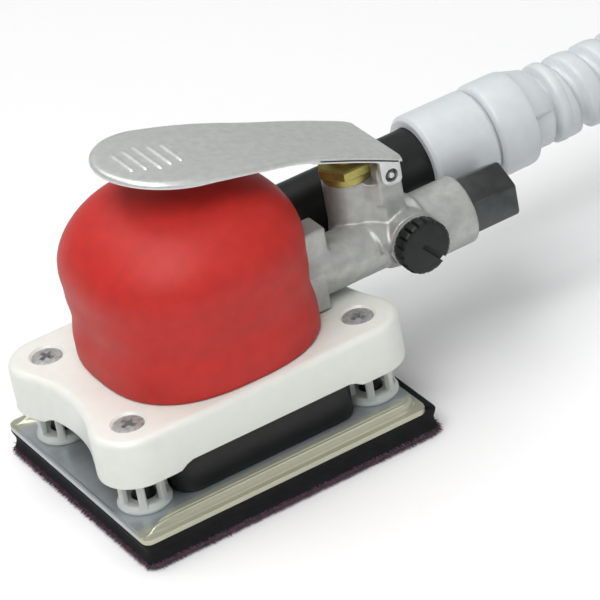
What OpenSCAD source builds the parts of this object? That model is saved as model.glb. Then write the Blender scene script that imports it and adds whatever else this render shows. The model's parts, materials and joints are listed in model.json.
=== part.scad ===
// Palm orbital sander: an air vane motor under a rubber grip drives a rectangular
// hook-face pad in a small circle, and a corrugated hose takes the dust away.
// Origin: where the motor axis meets the plane of the hook face.
// +X runs towards the air inlet and the hose, +Z up.

/* [Pad] */
// Length of the pad
pad_l = 92; // [91:0.5:94]
// Width of the pad
pad_w = 80; // [79.5:0.5:82]
// Height of the hook face and the rubber together
pad_h = 7.7; // [7.4:0.1:7.7]
// Thickness of the hook face
hook_t = 1.3; // [1:0.1:1.6]
// Thickness of the steel plate on the rubber
plate_t = 1.5; // [1.2:0.1:1.5]
// Radius of the pad's orbit
orbit_r = 1.2; // [1:0.1:1.2]

/* [Shroud] */
// Distance of the corner screws from the motor axis along X
leg_x = 36; // [35.5:0.1:36.2]
// Distance of the corner screws from the motor axis along Y
leg_y = 23.1; // [22.8:0.1:23.2]
// Radius of the corner bosses
boss_r = 11; // [10.8:0.1:11]
// Height of the shroud's flat top
shroud_top = 34.2; // [34:0.1:34.4]
// Height of the lower edge of the shroud's sides
shroud_edge = 22; // [21.5:0.1:23]
// Outer radius of the legs
leg_r = 7.6; // [7:0.1:7.6]

/* [Grip] */
// Height of the grip's widest part
grip_z = 62.5; // [62:0.5:63]
// Half width of the grip at its widest part
grip_r = 32.3; // [32:0.1:32.6]
// Height of the grip's dome above its widest part
dome_h = 20.3; // [20:0.1:20.5]

/* [Lever] */
// Height of the lever's upper face over the motor axis
lever_top = 91.2; // [91:0.1:91.6]
// Radius of the lever's round paddle
paddle_r = 19.5; // [19:0.5:20.5]
// Width of the lever's neck
neck_w = 29; // [29:0.1:29.4]
// Thickness of the lever's sheet
lever_t = 1.5; // [1.2:0.1:1.5]

/* [Air side] */
// Outer radius of the arm's thick end
arm_r = 9.9; // [9.5:0.1:10]
// Size of the inlet hexagon across its flats
inlet_af = 15.5; // [15:0.1:15.6]
// Radius of the inlet's threaded hole, quarter inch pipe thread
inlet_hole_r = 5.72; // [5.6:0.01:5.8]
// Radius of the speed knob
knob_r = 7.8; // [7.4:0.1:8]

/* [Dust side] */
// Outer radius of the black exhaust tube
tube_r = 10.4; // [10:0.1:10.4]
// Outer diameter of the corrugated hose
hose_d = 23.5; // [21:0.5:23.5]

/* [Hidden] */
$fn = 64;

running = 0.05;   // radial clearance of a running fit
over = 1;         // how far a cutter runs past the face it cuts

plate_z = pad_h;
plate_top = pad_h + plate_t;
pad_corner = 2.5;
plate_nose_x = -pad_l / 2;
plate_tail_x = pad_l / 2 - 3;
bead_h = 2.1;           // height of the ribs pressed along the plate's long edges
bead_in = 32.4;         // the ribs' inner foot, from the pad's centre line
bead_out = 37.2;        // their outer foot

shroud_w = 2 * (leg_y + boss_r);
shroud_l = 2 * (leg_x + boss_r);
boss_bottom = 20;
web_depth = 5;          // how far the nose and the tail are hollowed between the bosses
web_arc = 50;
shroud_wall = 3;
deck_t = 3.5;           // thickness of the shroud's deck
socket_r = 7.5;
socket_top = 23;
legs = [[-leg_x, leg_y], [-leg_x, -leg_y], [leg_x, -leg_y], [leg_x, leg_y]];

m5_r = 2.45;            // corner screws
m5_hole_r = 2.5;
m5_head_r = 4.85;
m4_r = 1.95;            // housing screws
m4_hole_r = 2;
m4_head_r = 3.5;
housing_screw_at = 17.5;

gasket_t = 0.6;
housing_z = shroud_top + gasket_t;
housing_r = 27.9;
housing_bore_r = 21.5;
housing_dome_z = 60;    // height where the housing's dome begins
housing_dome_h = 19;
upper_bore_r = 19.5;    // the bore narrows over the motor's cylinder
ceiling_z = 71.5;       // top of the motor's bore
saddle = [32.5, -16, 26.2, 46];   // rear block of the housing: x, low y, high y, top
socket_wall = 2.3;      // wall of the socket round the exhaust tube
step_from = [30, -13, 50];        // small cast step beside the grip, two opposite corners
step_to = [37, -4, 58];

valve_x = 51;
valve_y = -2;
valve_r = 7.1;
valve_rim = 63;
valve_flange_r = 6.9;
valve_hex_af = 14;
valve_hex_z = [65.5, 68];
stem_r = 1.5;
stem_gap = 0.7;         // from the stem's tip up to the lever's sheet
pin_x = 58.2;
pin_z = 64.7;
pin_r = 1.95;
lug_half = 12.8;        // the two lugs that carry the lever, outer and inner face
lug_in = 9.4;
lug_r = 4;

arm_y = -8;
arm_z = 41.4;
arm_start = 20;
arm_step = 63;          // where the thin arm meets its thick end
arm_end = 80.5;
neck_r = 7.7;
neck_z = 43.4;
inlet_end = 95;
thread_r = 6.6;         // outer radius of the bushing's shank
thread_depth = 12;

knob_x = 60.5;
knob_z = 44;
knob_boss_y = -17;      // face of the housing's boss under the collar
collar_face = -18;
knob_face = -23;
knob_stem_r = 3.2;
collar_bore_r = 5;

tube_y = 16;
tube_z = 45.9;
tube_end = 92;
tube_seat = 7;          // depth of the exhaust tube in its socket
tube_ledge = 3;
tube_wall = 1.8;
sleeve_x = [81.5, 102.6];
sleeve_r = 13.7;
cuff_x = [102.8, 122];
cuff_r = 14.2;
cuff_collar_x = 126;
hose_r = hose_d / 2;

// Route of the hose from its cuff to where it lies on the ground, and the coil behind it.
hose_route = [
  [126, 16, 45.9], [138, 16, 45.9], [150, 16, 45.9], [160, 16, 45.6], [170, 16, 44.7],
  [180, 16, 43.2], [190, 16, 41.1], [200, 16, 38.4], [210, 16, 35.1], [220, 16, 31],
  [230, 16, 26.5], [240, 16, 22.4], [250, 16, 19.1], [260, 16, 16.4], [270, 15.4, 14.3],
  [279.9, 13.8, 12.9], [289.6, 11.1, 12.05], [299.1, 7.5, 11.75], [308.1, 3, 11.75],
  [320.8, -5.6, 11.75]
];
coil_centre = [255, -84];
coil_start = 102.4;     // radius of the hose's centre line where the coil begins
coil_from = 50;         // angle at which it begins, turning clockwise seen from above
coil_sweep = 483;       // angle that it turns through
coil_growth = hose_d / 360;
coil_end_r = coil_start + coil_growth * coil_sweep;
coil_end_angle = coil_from - coil_sweep;
end_cuff_r = 13.4;
end_cuff_l = 45;

lower_bearing_z = [37.5, 43.5];
lower_plate_z = [36.5, 46];
cylinder_z = [46, 66];
upper_plate_z = [66, 71];
journal_r = 5;          // bore of the lower bearing
small_journal_r = 4;    // bore of the upper bearing and of the pad bearing
lower_bearing_r = 9.5;
upper_bearing_r = 8;
motor_bore_r = 17.5;
motor_bore_shift = 1.3;
rotor_r = 15.6;
vane_t = 1.5;
vane_in = 8.5;
vane_count = 5;

crank_z = [14.3, 23];   // the eccentric crank pin
spindle_r = 2;          // shank of the spindle bolt
spindle_head_z = 10.9;
spindle_head_h = 2.4;
spindle_tip = 21;
crank_disc_z = 25.5;
weight_z = [25.5, 30.5];
weight_r = 18.5;
weight_hub_r = 8.5;
pad_bearing_z = [14.6, 21.6];
pad_bearing_r = 11;
hub_z = 11.8;           // top of the hub's flange
hub_top = 21.6;
hub_r = 14;
hub_flange_r = 19;
hub_screw_at = 16.5;
hub_screw_hole_r = 1.5;
pocket_r = 7;

module along_x() rotate([0, 90, 0]) children();
module towards_near_side() rotate([90, 0, 0]) children();

module tube(r_out, r_in, z0, z1) {
  translate([0, 0, z0]) difference() {
    cylinder(r = r_out, h = z1 - z0);
    translate([0, 0, -over]) cylinder(r = r_in, h = z1 - z0 + 2 * over);
  }
}

module rounded_rect(l, w, r) {
  square([l - 2 * r, w], center = true);
  square([l, w - 2 * r], center = true);
  for (x = [-1, 1], y = [-1, 1]) translate([x * (l / 2 - r), y * (w / 2 - r)]) circle(r);
}

module slab(l, w, r, z0, z1) translate([0, 0, z0]) linear_extrude(z1 - z0) rounded_rect(l, w, r);

module at_legs() for (p = legs) translate([p.x, p.y, 0]) children();

module at_housing_screws() {
  for (x = [-1, 1], y = [-1, 1]) translate([x * housing_screw_at, y * housing_screw_at, 0]) children();
}

module hexagon(af, h) cylinder(r = af / sqrt(3), h = h, $fn = 6);

// ---- pad, which orbits ----

module in_orbit() translate([0, -orbit_r, 0]) children();

module hook_face() {
  color([0.13, 0.1, 0.12]) in_orbit() slab(pad_l, pad_w, pad_corner, 0, hook_t);
}

module pad_rubber() {
  cove_r = 6;
  cove_depth = 1;
  cove_z = (hook_t + plate_z) / 2;
  reach = cove_r - cove_depth;
  color([0.12, 0.12, 0.13]) in_orbit() difference() {
    slab(pad_l, pad_w, pad_corner, hook_t, plate_z);
    for (s = [-1, 1]) {
      translate([-pad_l, s * (pad_w / 2 + reach), cove_z]) along_x() cylinder(r = cove_r, h = 2 * pad_l);
      translate([s * (pad_l / 2 + reach), pad_w, cove_z]) towards_near_side() cylinder(r = cove_r, h = 2 * pad_w);
    }
  }
}

module bead(side) {
  foot = 0.8;           // run of the rib's sloping sides
  end_r = (bead_out - bead_in) / 2;
  from_x = plate_nose_x + 1.5;
  to_x = plate_tail_x - 0.5;
  mid = (bead_in + bead_out) / 2;
  intersection() {
    translate([0, side * mid, plate_top]) along_x() linear_extrude(pad_l, center = true)
      polygon([[over, -end_r], [0, -end_r], [-bead_h, -end_r + foot], [-bead_h, end_r - foot],
               [0, end_r], [over, end_r]]);
    translate([0, side * mid, plate_z]) linear_extrude(plate_t + 2 * bead_h) {
      translate([(from_x + to_x) / 2, 0]) square([to_x - from_x - 2 * end_r, 2 * end_r], center = true);
      for (x = [from_x + end_r, to_x - end_r]) translate([x, 0]) circle(end_r);
    }
  }
}

module pad_plate() {
  lip_w = 0.8;
  lip_h = 0.4;
  plate_w = pad_w - 0.6;
  color([0.78, 0.78, 0.76]) in_orbit() difference() {
    union() {
      translate([(plate_nose_x + plate_tail_x) / 2, 0, 0])
        slab(plate_tail_x - plate_nose_x, plate_w, pad_corner, plate_z, plate_top);
      translate([plate_nose_x + 0.1, -bead_in, plate_z]) cube([lip_w, 2 * bead_in, plate_t + lip_h]);
      for (side = [-1, 1]) bead(side);
    }
    for (a = [45 : 90 : 315]) rotate(a) translate([hub_screw_at, 0, 0]) cylinder(r = hub_screw_hole_r, h = hub_top);
  }
}

module pad_hub() {
  color([0.7, 0.7, 0.7]) in_orbit() difference() {
    union() {
      translate([0, 0, plate_top]) cylinder(r = hub_flange_r, h = hub_z - plate_top);
      cylinder(r = hub_r, h = hub_top);
    }
    translate([0, 0, -over]) cylinder(r = hub_r + over, h = plate_top + over);
    translate([0, 0, plate_top + 0.8]) cylinder(r = pocket_r, h = hub_top);
    translate([0, 0, pad_bearing_z[0]]) cylinder(r = pad_bearing_r, h = hub_top);
    for (a = [45 : 90 : 315]) rotate(a) translate([hub_screw_at, 0, 0]) cylinder(r = hub_screw_hole_r, h = hub_top);
  }
}

module hub_screws() {
  color([0.55, 0.55, 0.57]) in_orbit() for (a = [45 : 90 : 315]) rotate(a) translate([hub_screw_at, 0, 0]) {
    translate([0, 0, plate_z]) cylinder(r = 1.45, h = hub_z - plate_z);
    translate([0, 0, hub_z]) cylinder(r = 2.2, h = 1.8);
  }
}

module pad_bearing() {
  color([0.6, 0.62, 0.65]) in_orbit()
    tube(pad_bearing_r, small_journal_r, pad_bearing_z[0], pad_bearing_z[1]);
}

// ---- rotor, which turns about the motor axis ----

module rotor_shaft() {
  r = journal_r - running;
  r_small = small_journal_r - running;
  disc_r = 9;
  color([0.55, 0.57, 0.6]) union() {
    in_orbit() tube(r_small, spindle_r, crank_z[0], spindle_tip);
    in_orbit() translate([0, 0, spindle_tip]) cylinder(r = r_small, h = crank_z[1] - spindle_tip + over);
    translate([0, 0, crank_z[1]]) cylinder(r = disc_r, h = crank_disc_z - crank_z[1]);
    translate([0, 0, crank_disc_z]) cylinder(r = r, h = cylinder_z[1] - crank_disc_z);
    translate([0, 0, cylinder_z[1]]) cylinder(r = r_small, h = upper_plate_z[1] - cylinder_z[1]);
  }
}

module counterweight() {
  color([0.5, 0.5, 0.5]) difference() {
    translate([0, 0, weight_z[0]]) intersection() {
      cylinder(r = weight_r, h = weight_z[1] - weight_z[0]);
      union() {
        translate([-weight_r, 0, 0]) cube([2 * weight_r, weight_r, weight_z[1]]);
        cylinder(r = weight_hub_r, h = weight_z[1]);
      }
    }
    cylinder(r = journal_r, h = ceiling_z);
  }
}

module spindle_washer() {
  color([0.65, 0.65, 0.66]) in_orbit()
    tube(6, spindle_r + running, spindle_head_z + spindle_head_h, crank_z[0]);
}

module spindle_bolt() {
  head_af = 7;
  color([0.3, 0.3, 0.32]) in_orbit() translate([0, 0, spindle_head_z]) {
    hexagon(head_af, spindle_head_h);
    cylinder(r = spindle_r - running / 5, h = spindle_tip - spindle_head_z - 0.2);
  }
}

module rotor() {
  z0 = cylinder_z[0] + 0.1;
  z1 = cylinder_z[1] - 0.1;
  color([0.62, 0.62, 0.6]) difference() {
    tube(rotor_r, journal_r, z0, z1);
    for (i = [0 : vane_count - 1]) rotate(i * 360 / vane_count)
      translate([vane_in - 0.2, -vane_t / 2 - running, 0]) cube([rotor_r, vane_t + 2 * running, z1 + over]);
  }
}

module vanes() {
  z0 = cylinder_z[0] + 0.2;
  z1 = cylinder_z[1] - 0.2;
  color([0.35, 0.22, 0.12]) for (i = [0 : vane_count - 1]) rotate(i * 360 / vane_count)
    translate([vane_in, -vane_t / 2, z0]) cube([rotor_r - vane_in - 0.1, vane_t, z1 - z0]);
}

// ---- motor, fixed in the housing ----

module motor_cylinder() {
  color([0.6, 0.6, 0.62]) difference() {
    translate([0, 0, cylinder_z[0]]) cylinder(r = housing_bore_r - running, h = cylinder_z[1] - cylinder_z[0]);
    translate([motor_bore_shift, 0, 0]) cylinder(r = motor_bore_r, h = ceiling_z);
  }
}

module lower_end_plate() {
  color([0.66, 0.66, 0.66]) difference() {
    translate([0, 0, lower_plate_z[0]])
      cylinder(r = housing_bore_r - running, h = lower_plate_z[1] - lower_plate_z[0]);
    translate([0, 0, lower_bearing_z[1] - over - ceiling_z]) cylinder(r = lower_bearing_r, h = ceiling_z + over);
    cylinder(r = journal_r + 0.4, h = ceiling_z);
  }
}

module upper_end_plate() {
  color([0.66, 0.66, 0.66]) difference() {
    translate([0, 0, upper_plate_z[0]])
      cylinder(r = upper_bore_r - running, h = upper_plate_z[1] - upper_plate_z[0]);
    translate([0, 0, upper_plate_z[0] + 1]) cylinder(r = upper_bearing_r, h = ceiling_z);
    cylinder(r = journal_r + 0.4, h = ceiling_z);
  }
}

module lower_bearing() {
  color([0.6, 0.62, 0.65]) tube(lower_bearing_r, journal_r, lower_bearing_z[0], lower_bearing_z[1]);
}

module upper_bearing() {
  color([0.6, 0.62, 0.65]) tube(upper_bearing_r, small_journal_r, upper_plate_z[0] + 1, upper_plate_z[1]);
}

module housing_gasket() {
  color([0.2, 0.2, 0.2]) difference() {
    translate([0, 0, shroud_top]) cylinder(r = housing_r, h = gasket_t);
    translate([0, 0, shroud_top - over]) cylinder(r = housing_bore_r, h = gasket_t + 2 * over);
    at_housing_screws() cylinder(r = m4_hole_r, h = ceiling_z);
  }
}

module housing_screws() {
  deck_z = shroud_top - deck_t;
  head_h = 2.4;
  color([0.5, 0.5, 0.52]) at_housing_screws() {
    translate([0, 0, deck_z - head_h]) difference() {
      cylinder(r = m4_head_r, h = head_h);
      translate([0, 0, -over]) hexagon(3, 1.6 + over);
    }
    translate([0, 0, deck_z]) cylinder(r = m4_r, h = 12);
  }
}

// Outside of the housing's round body, which is also the inside of the grip.
module housing_round(r, z0) {
  translate([0, 0, z0]) cylinder(r = r, h = housing_dome_z - z0);
  translate([0, 0, housing_dome_z]) rotate_extrude()
    polygon(concat([[0, 0]], [for (a = [0 : 6 : 90]) [r * cos(a), housing_dome_h * sin(a)]]));
}

// Rear of the housing: a block, the socket of the exhaust tube and a small cast step.
module saddle_block(grow) {
  translate([0, saddle[1] - grow, housing_z - grow])
    cube([saddle[0] + grow, saddle[2] - saddle[1] + 2 * grow, saddle[3] - housing_z + 2 * grow]);
  translate([arm_start, tube_y, tube_z]) along_x()
    cylinder(r = tube_r + socket_wall + grow, h = saddle[0] - arm_start + grow);
  translate(step_from - grow * [0, 1, 1]) cube(step_to - step_from + grow * [1, 2, 2]);
}

// The two lugs that carry the lever, on a bar across the valve's boss.
module lever_lugs() {
  bar_h = 6.5;
  shoulder = 3;
  for (y = [-lug_in, lug_half])
    translate([pin_x, y, pin_z]) towards_near_side() cylinder(r = lug_r, h = lug_half - lug_in);
  translate([0, 0, valve_rim - 7]) linear_extrude(bar_h) polygon([
    [valve_x, valve_y - valve_r], [pin_x - shoulder, -lug_half], [pin_x + lug_r, -lug_half],
    [pin_x + lug_r, lug_half], [pin_x - shoulder, lug_half], [valve_x, valve_y + valve_r]
  ]);
}

module motor_housing() {
  passage_r = 4;
  valve_bore_r = 4.6;
  boss_depth = arm_y - knob_boss_y;
  color([0.72, 0.72, 0.7]) difference() {
    union() {
      housing_round(housing_r, housing_z);
      saddle_block(0);
      translate([arm_start, arm_y, neck_z]) along_x() cylinder(r = neck_r, h = arm_step - arm_start + over);
      translate([arm_step, arm_y, arm_z]) along_x() cylinder(r = arm_r, h = arm_end - arm_step);
      translate([valve_x, valve_y, neck_z]) cylinder(r = valve_r, h = valve_rim - neck_z);
      translate([knob_x, arm_y, knob_z]) towards_near_side() cylinder(r = knob_r - 0.3, h = boss_depth);
      lever_lugs();
    }
    cylinder(r = housing_bore_r, h = cylinder_z[1]);
    cylinder(r = upper_bore_r, h = ceiling_z);
    translate([0, 0, housing_z - shroud_top]) cylinder(r = 2 * housing_r, h = shroud_top);
    at_housing_screws() cylinder(r = m4_hole_r, h = shroud_top + 13);
    translate([arm_start, arm_y, arm_z]) along_x() cylinder(r = passage_r, h = arm_end);
    translate([arm_end - thread_depth, arm_y, arm_z]) along_x() cylinder(r = thread_r, h = thread_depth + over);
    translate([valve_x, valve_y, neck_z]) cylinder(r = valve_bore_r, h = valve_rim);
    translate([knob_x, arm_y, knob_z]) towards_near_side() cylinder(r = collar_bore_r, h = knob_x);
    translate([knob_x, knob_boss_y, knob_z]) towards_near_side() cylinder(r = knob_r + 0.4, h = knob_x);
    translate([pin_x, lug_half + over, pin_z]) towards_near_side() cylinder(r = pin_r, h = 2 * lug_half + 2 * over);
    translate([saddle[0] - tube_seat, tube_y, tube_z]) along_x() cylinder(r = tube_r, h = arm_end);
    translate([0, tube_y, tube_z]) along_x() cylinder(r = tube_r - tube_ledge, h = arm_end);
  }
}

// ---- grip ----

// Half width of the grip at height z, below the dome.
function grip_side(z) = lookup(z, [[shroud_top, 31.4], [40, 31.4], [47, 30.6], [55, 31.5], [grip_z, grip_r]]);
function grip_half(z) = z <= grip_z ? grip_side(z) : grip_r * sqrt(max(0, 1 - pow((z - grip_z) / dome_h, 2)));
function squareness(z) = 2.6 - 0.5 * min(1, max(0, (z - 45) / 30));
function rounded(a, n) = pow(pow(abs(cos(a)), n) + pow(abs(sin(a)), n), -1 / n);

grip_centre = -0.8;
grip_steps = 48;
grip_levels = concat(
  [shroud_top, 37, 40, 43, 47, 51, 55, 59],
  [for (a = [0 : 10 : 80]) grip_z + dome_h * sin(a)]
);

module grip_solid() {
  n = len(grip_levels);
  points = concat(
    [for (z = grip_levels, i = [0 : grip_steps - 1]) let (
      a = i * 360 / grip_steps,
      r = grip_half(z) * rounded(a, squareness(z))
    ) [grip_centre + r * cos(a), r * sin(a), z]],
    [[grip_centre, 0, grip_z + dome_h]]
  );
  function at(level, i) = level * grip_steps + i % grip_steps;
  sides = [for (l = [0 : n - 2], i = [0 : grip_steps - 1], half = [0, 1])
    half == 0 ? [at(l, i), at(l + 1, i), at(l + 1, i + 1)] : [at(l, i), at(l + 1, i + 1), at(l, i + 1)]];
  cap = [for (i = [0 : grip_steps - 1]) [at(n - 1, i), n * grip_steps, at(n - 1, i + 1)]];
  base = [[for (i = [0 : grip_steps - 1]) at(0, i)]];
  polyhedron(points, concat(base, sides, cap));
}

module grip_cover() {
  gap = 0.1;
  color([0.75, 0.2, 0.18]) difference() {
    grip_solid();
    translate([0, 0, -over]) housing_round(housing_r + gap, shroud_top);
    housing_round(housing_r + gap, shroud_top);
    saddle_block(2 * gap);
    translate([0, 0, -over]) saddle_block(2 * gap);
    translate([arm_start, arm_y, neck_z]) along_x() cylinder(r = neck_r + gap, h = arm_step);
  }
}

// ---- shroud and legs ----

module shroud_outline() {
  difference() {
    union() {
      square([2 * leg_x, shroud_w], center = true);
      square([shroud_l, 2 * leg_y], center = true);
      for (p = legs) translate(p) circle(boss_r);
    }
    for (s = [-1, 1]) translate([s * (shroud_l / 2 - web_depth + web_arc), 0]) circle(web_arc, $fn = 128);
  }
}

module shroud() {
  cavity_l = shroud_l - 2 * (web_depth + shroud_wall);
  cavity_w = shroud_w - 2 * shroud_wall;
  deck_hole_r = 12;
  color([0.93, 0.93, 0.9]) difference() {
    union() {
      translate([0, 0, shroud_edge]) linear_extrude(shroud_top - shroud_edge) shroud_outline();
      at_legs() translate([0, 0, boss_bottom]) cylinder(r = boss_r, h = shroud_top - boss_bottom);
    }
    translate([0, 0, boss_bottom - over]) linear_extrude(shroud_top - deck_t - boss_bottom + over) difference() {
      square([cavity_l, cavity_w], center = true);
      for (p = legs) translate(p) circle(boss_r);
    }
    translate([0, 0, shroud_edge]) cylinder(r = deck_hole_r, h = shroud_top);
    at_legs() {
      translate([0, 0, boss_bottom - over]) cylinder(r = socket_r, h = socket_top - boss_bottom + over);
      cylinder(r = m5_hole_r, h = ceiling_z);
      translate([0, 0, shroud_top - 2.4]) cylinder(r1 = m5_hole_r, r2 = m5_head_r + 0.05, h = 2.4);
      translate([0, 0, shroud_top]) cylinder(r = m5_head_r + 0.05, h = over);
    }
    at_housing_screws() cylinder(r = m4_hole_r, h = ceiling_z);
  }
}

module shroud_screws() {
  tip = 13;
  slot_w = 1.1;
  slot_l = 5.4;
  slot_d = 1.9;
  color([0.6, 0.6, 0.6]) at_legs() difference() {
    union() {
      translate([0, 0, tip]) cylinder(r = m5_r, h = shroud_top - tip - 2.4);
      translate([0, 0, shroud_top - 2.4]) cylinder(r1 = m5_r, r2 = m5_head_r, h = 2.4);
    }
    for (a = [0, 90]) rotate(a + 20)
      translate([-slot_l / 2, -slot_w / 2, shroud_top - slot_d]) cube([slot_l, slot_w, slot_d + over]);
  }
}

module leg(index) {
  foot_z = plate_top + 0.05;
  ring_h = 2.2;
  core_r = 3.5;
  rib_w = 2.3;
  rib_depth = 1.9;
  rib_count = 6;
  color([0.88, 0.89, 0.88]) translate([legs[index - 1].x, legs[index - 1].y, 0]) difference() {
    union() {
      translate([0, 0, foot_z]) cylinder(r = leg_r, h = ring_h);
      translate([0, 0, boss_bottom - 0.8]) cylinder(r = socket_r - 0.1, h = socket_top - boss_bottom + 0.8);
      translate([0, 0, foot_z]) cylinder(r = core_r, h = socket_top - foot_z);
      for (i = [0 : rib_count - 1]) rotate(i * 360 / rib_count) intersection() {
        tube(leg_r - 0.4, leg_r - rib_depth, foot_z + 0.3, boss_bottom - 0.3);
        translate([0, -rib_w / 2, 0]) cube([leg_r, rib_w, boss_bottom]);
      }
    }
    cylinder(r = m5_hole_r, h = ceiling_z);
  }
}

module dust_skirt() {
  foot_z = plate_top + 0.4;
  step_z = boss_bottom - 0.3;
  top_z = shroud_top - deck_t - 0.1;
  low_l = 2 * (leg_x - leg_r - 0.6);
  high_l = 2 * (leg_x - boss_r - 0.4);
  w = 60.8;
  wall = 1.4;
  corner = 5;
  color([0.1, 0.1, 0.1]) difference() {
    union() {
      slab(low_l, w, corner, foot_z, step_z);
      slab(high_l, w, corner, step_z, top_z);
    }
    slab(low_l - 2 * wall, w - 2 * wall, corner - wall, foot_z - over, step_z - wall);
    slab(high_l - 2 * wall, w - 2 * wall, corner - wall, step_z - 2 * wall, top_z + over);
  }
}

// ---- lever and valve ----

function lever_z(x) = lever_top - 0.235 * x - 0.002 * x * x;

lever_tail = pin_x + 4.4;
lever_steps = [for (i = [0 : 16]) -paddle_r + i * (lever_tail + paddle_r) / 16];

module lever_profile(from_x, down, thick) {
  xs = [for (x = lever_steps) if (x >= from_x) x];
  upper = [for (x = xs) [x, lever_z(x) - down]];
  lower = [for (i = [len(xs) - 1 : -1 : 0]) [xs[i], lever_z(xs[i]) - down - thick]];
  polygon(concat(upper, lower));
}

module lever_band(from_x, down, thick, y0, y1) {
  translate([0, y1, 0]) towards_near_side() linear_extrude(y1 - y0) lever_profile(from_x, down, thick);
}

module lever_plan(inset) {
  half = neck_w / 2 - inset;
  circle(paddle_r - inset);
  polygon([[0, paddle_r - inset], [6, paddle_r - 0.8 - inset], [20, 17 - inset], [27, 15.4 - inset], [33, half],
           [lever_tail, half], [lever_tail, -half], [33, -half], [27, inset - 15.4], [20, inset - 17],
           [6, inset + 0.8 - paddle_r], [0, inset - paddle_r]]);
}

module throttle_lever() {
  rim = 1.3;
  rim_drop = 1.9;
  ear_r = 3.1;
  ear_t = 1.5;
  flange_from = 30;
  flange_drop = 1.8;
  tall = lever_top + over * 10;
  color([0.78, 0.79, 0.79]) difference() {
    union() {
      intersection() {
        lever_band(-paddle_r, 0, lever_t, -paddle_r, paddle_r);
        linear_extrude(tall) lever_plan(0);
      }
      intersection() {
        lever_band(-paddle_r, lever_t - 0.1, rim_drop - lever_t, -paddle_r, paddle_r);
        linear_extrude(tall) difference() {
          lever_plan(0);
          lever_plan(rim);
          translate([35, -neck_w]) square(2 * neck_w);
        }
      }
      for (y0 = [-neck_w / 2, neck_w / 2 - ear_t]) {
        lever_band(flange_from, lever_t - 0.1, flange_drop, y0, y0 + ear_t);
        translate([pin_x, y0 + ear_t, pin_z]) towards_near_side() cylinder(r = ear_r, h = ear_t);
        translate([pin_x - ear_r, y0, pin_z]) cube([2 * ear_r, ear_t, 4]);
      }
    }
    translate([pin_x, neck_w, pin_z]) towards_near_side() cylinder(r = pin_r + running, h = 2 * neck_w);
  }
}

module lever_pins() {
  pin_out = neck_w / 2 + 0.4;
  color([0.5, 0.5, 0.52]) for (y = [-lug_in - 0.1, pin_out])
    translate([pin_x, y, pin_z]) towards_near_side() cylinder(r = pin_r, h = pin_out - lug_in - 0.1);
}

module valve_bushing() {
  shank_r = 4.55;
  shank_l = 7;
  collar_r = 4;
  collar_h = 1.2;
  color([0.66, 0.55, 0.28]) translate([valve_x, valve_y, 0]) difference() {
    union() {
      translate([0, 0, valve_rim - shank_l]) cylinder(r = shank_r, h = shank_l);
      translate([0, 0, valve_rim]) cylinder(r = valve_flange_r, h = valve_hex_z[0] - valve_rim);
      translate([0, 0, valve_hex_z[0]]) hexagon(valve_hex_af, valve_hex_z[1] - valve_hex_z[0]);
      translate([0, 0, valve_hex_z[1]]) cylinder(r = collar_r, h = collar_h);
    }
    cylinder(r = stem_r + running, h = lever_top);
  }
}

module valve_seat() {
  color([0.15, 0.15, 0.15]) translate([valve_x, valve_y, 0]) tube(4.5, stem_r + 0.3, valve_rim - 8.4, valve_rim - 7.2);
}

module valve_stem() {
  head_top = valve_rim - 8.6;
  head_r = 3.4;
  tip_h = 0.5;
  top = lever_z(valve_x) - lever_t - stem_gap;
  color([0.6, 0.6, 0.62]) translate([valve_x, valve_y, 0]) {
    translate([0, 0, head_top - 1.6]) cylinder(r = head_r, h = 1.6);
    translate([0, 0, head_top]) cylinder(r = stem_r, h = top - tip_h - head_top);
    translate([0, 0, top - tip_h]) cylinder(r1 = stem_r, r2 = stem_r - tip_h, h = tip_h);
  }
}

module valve_spring() {
  z0 = neck_z + 0.3;
  z1 = valve_rim - 10.4;
  color([0.7, 0.7, 0.7]) translate([valve_x, valve_y, 0]) tube(3.2, 2.2, z0, z1);
}

// ---- air inlet and speed knob ----

module inlet_bushing() {
  shank = thread_depth - 2.5;
  lead = 0.9;
  color([0.13, 0.13, 0.14]) translate([arm_end - shank, arm_y, arm_z]) along_x() difference() {
    union() {
      cylinder(r = thread_r, h = shank);
      translate([0, 0, shank]) intersection() {
        hexagon(inlet_af, inlet_end - arm_end);
        union() {
          cylinder(r = inlet_af / sqrt(3), h = inlet_end - arm_end - lead);
          translate([0, 0, inlet_end - arm_end - lead])
            cylinder(r1 = inlet_af / sqrt(3), r2 = inlet_af / 2, h = lead);
        }
      }
    }
    translate([0, 0, -over]) cylinder(r = inlet_hole_r, h = inlet_end);
  }
}

module inlet_screen() {
  pitch = 2.2;
  color([0.6, 0.6, 0.6]) translate([arm_end - thread_depth + 0.2, arm_y, arm_z]) along_x() difference() {
    cylinder(r = thread_r - 0.1, h = 1);
    for (i = [-2 : 2], j = [-2 : 2]) translate([i * pitch - 0.6, j * pitch - 0.6, -over]) cube([1.2, 1.2, 3]);
  }
}

module regulator_collar() {
  spigot_l = 4;
  color([0.7, 0.7, 0.68]) translate([knob_x, 0, knob_z]) towards_near_side() union() {
    tube(collar_bore_r - running, knob_stem_r + running, -knob_boss_y - spigot_l, -knob_boss_y);
    tube(knob_r - 0.5, knob_stem_r + running, -knob_boss_y, -collar_face);
  }
}

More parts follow.
